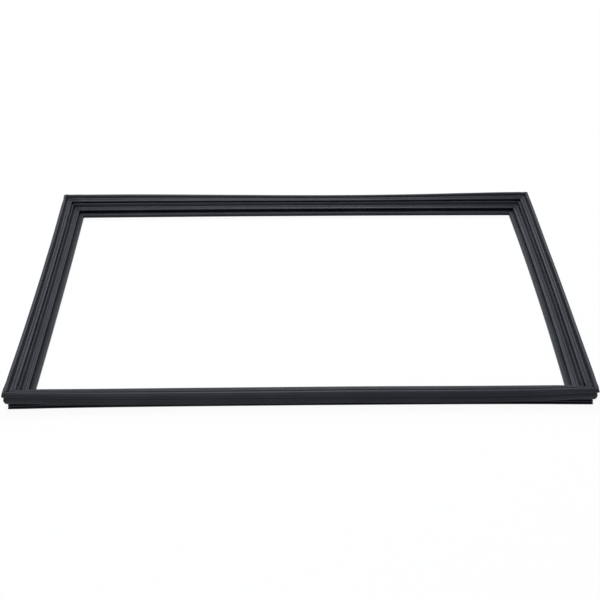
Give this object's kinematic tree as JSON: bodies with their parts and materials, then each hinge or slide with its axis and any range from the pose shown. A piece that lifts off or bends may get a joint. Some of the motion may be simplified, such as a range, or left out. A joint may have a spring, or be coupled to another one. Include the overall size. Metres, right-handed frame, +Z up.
{
  "type": "refrigerator door gasket",
  "caption": "Welded rectangular push-in door seal: hollow bellows profile with a magnet pocket on its sealing face, a barbed dart below and flexible magnet strips inside.",
  "frame": {"origin": "middle of the ring's footprint, on the surface that it lies on", "axes": "+X along the long sides, +Y from the front side to the back side, +Z up out of the sealing face"},
  "size_m": [0.699, 0.478, 0.027],
  "materials": {
    "black_vinyl": "satin soft PVC",
    "magnet_strip": "matte ferrite-filled strip"
  },
  "bodies": {
    "root": {"gasket_body": "black_vinyl", "magnet_strip_front": "magnet_strip", "magnet_strip_right": "magnet_strip", "magnet_strip_back": "magnet_strip", "magnet_strip_left": "magnet_strip"}
  },
  "joints": []
}
